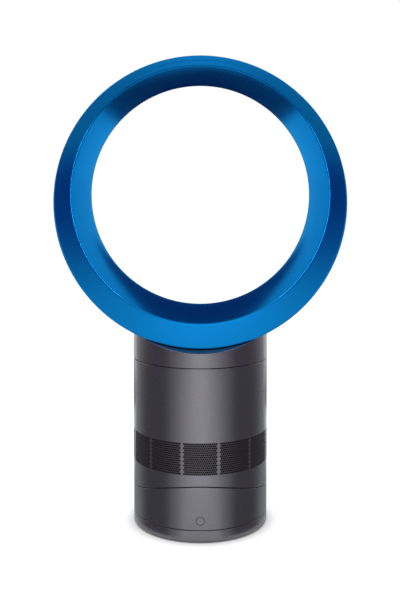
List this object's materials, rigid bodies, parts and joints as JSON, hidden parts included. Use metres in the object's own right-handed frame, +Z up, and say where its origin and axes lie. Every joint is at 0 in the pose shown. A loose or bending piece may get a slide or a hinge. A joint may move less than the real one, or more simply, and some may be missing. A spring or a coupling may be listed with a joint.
{
  "type": "bladeless fan",
  "caption": "Bladeless desk fan: an eccentric ring nozzle with a rear air slot on a round pedestal that draws air in, tilts and swings.",
  "frame": {"origin": "centre of the foot's footprint, on the surface it stands on", "axes": "+Z up, -Y is the front, the way the air leaves, +X to the right as seen from the front"},
  "size_m": [0.305, 0.146, 0.5011],
  "materials": {
    "iron_plastic": "metallic grey moulded plastic, satin",
    "blue_nozzle": "metallic blue moulded plastic, satin gloss",
    "black_rubber": "matte moulded rubber",
    "natural_plastic": "natural engineering plastic",
    "steel": "bright zinc or ground steel",
    "dark_plastic": "fine-textured dark plastic",
    "foam": "open-cell acoustic foam",
    "circuit_board": "solder-masked laminate",
    "copper_windings": "enamelled copper wire on laminated iron"
  },
  "bodies": {
    "foot": {"foot_shell": "iron_plastic", "foot_pad_1": "black_rubber", "foot_pad_2": "black_rubber", "foot_pad_3": "black_rubber", "foot_pad_4": "black_rubber", "glide_ring": "natural_plastic", "swing_rack": "natural_plastic", "rack_screw_1": "steel", "rack_screw_2": "steel", "rack_screw_3": "steel", "cord_gland": "black_rubber"},
    "lower_body": {"lower_body_shell": "iron_plastic", "swivel_plate": "dark_plastic", "spindle_clip": "steel", "tilt_cradle": "dark_plastic", "swing_motor": "steel", "control_board": "circuit_board", "button_switch": "dark_plastic", "speed_display": "dark_plastic", "remote_receiver": "dark_plastic"},
    "fan_body": {"body_case": "iron_plastic", "tilt_runner": "dark_plastic", "silencer_plate": "dark_plastic", "silencer_foam": "foam", "impeller_housing": "dark_plastic", "inlet_bell": "dark_plastic", "impeller_shroud": "dark_plastic", "housing_seal": "black_rubber", "motor_bucket_lower": "dark_plastic", "motor_bucket_upper": "dark_plastic", "bucket_foam": "foam", "motor_can": "steel", "motor_end_cap": "steel", "motor_stator": "copper_windings", "shaft_bearing_lower": "steel", "shaft_bearing_upper": "steel", "support_post_1": "dark_plastic", "support_isolator_1": "black_rubber", "support_post_2": "dark_plastic", "support_isolator_2": "black_rubber", "support_post_3": "dark_plastic", "support_isolator_3": "black_rubber", "nozzle_collar": "iron_plastic", "neck_seal": "black_rubber", "nozzle_front_shell": "blue_nozzle", "nozzle_back_shell": "blue_nozzle"},
    "impeller": {"impeller": "natural_plastic", "motor_shaft": "steel", "rotor_magnet": "dark_plastic", "impeller_nut": "steel"},
    "power_button": {"power_button": "iron_plastic"},
    "swing_pinion": {"swing_pinion": "natural_plastic"}
  },
  "joints": [
    {"name": "swing", "type": "hinge", "parent": "foot", "child": "lower_body", "pos_m": [0, 0, 0.0135], "axis": [0, 0, 1], "range_deg": [-45, 45]},
    {"name": "tilt", "type": "hinge", "parent": "lower_body", "child": "fan_body", "pos_m": [0, 0, 0.2158], "axis": [1, 0, 0], "range_deg": [-10, 10]},
    {"name": "impeller_spin", "type": "hinge", "parent": "fan_body", "child": "impeller", "pos_m": [0, 0, 0.11], "axis": [0, 0, 1], "continuous": true},
    {"name": "button_press", "type": "slide", "parent": "lower_body", "child": "power_button", "axis": [0, 1, 0], "range_m": [0, 0.0008], "stiffness_N_per_m": 400},
    {"name": "pinion_spin", "type": "hinge", "parent": "lower_body", "child": "swing_pinion", "pos_m": [0, 0.045, 0.008], "axis": [0, 0, 1], "range_deg": [-270, 270]}
  ],
  "couplings": [
    {"joint": "pinion_spin", "follows": "swing", "ratio": -6}
  ]
}
